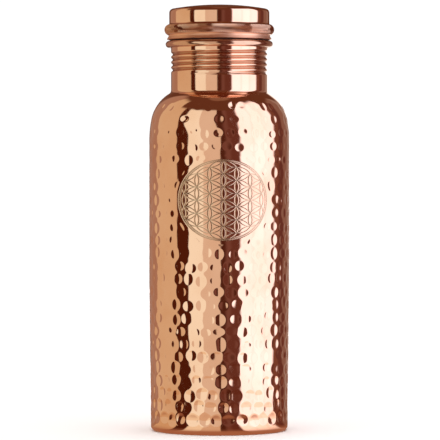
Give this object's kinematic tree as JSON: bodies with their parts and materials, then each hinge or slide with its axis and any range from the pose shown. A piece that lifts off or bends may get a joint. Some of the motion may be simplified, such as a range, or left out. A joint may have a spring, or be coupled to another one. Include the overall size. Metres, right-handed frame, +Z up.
{
  "type": "water bottle",
  "caption": "Hammered copper water bottle with a rounded shoulder, a threaded neck with a rolled lip, and a domed screw lid with a knurled grip bead.",
  "frame": {"origin": "centre of the standing ring, on the surface the bottle stands on", "axes": "+Z up along the bottle's axis through the mouth; the engraved front faces -Y"},
  "size_m": [0.07, 0.07, 0.2125],
  "materials": {
    "hammered_copper": "hand-hammered copper, polished, with an engraved round pattern at the front",
    "polished_copper": "mirror-polished copper with a diamond-knurled bead",
    "plain_copper": "plain copper, as pressed, lightly dulled",
    "silicone": "black silicone, satin"
  },
  "bodies": {
    "bottle": {"bottle_body": "hammered_copper", "base_pan": "plain_copper"},
    "seal": {"seal_ring": "silicone"},
    "lid": {"lid_cap": "polished_copper", "lid_plug": "plain_copper"}
  },
  "joints": [
    {"name": "lid_rise", "type": "slide", "parent": "bottle", "child": "seal", "axis": [0, 0, 1], "range_m": [0, 0.0209]},
    {"name": "lid_turn", "type": "hinge", "parent": "seal", "child": "lid", "pos_m": [0, 0, 0.195], "axis": [0, 0, 1], "range_deg": [0, 2880]}
  ],
  "couplings": [
    {"joint": "lid_rise", "follows": "lid_turn", "m_per_rad": 0.0004138}
  ]
}
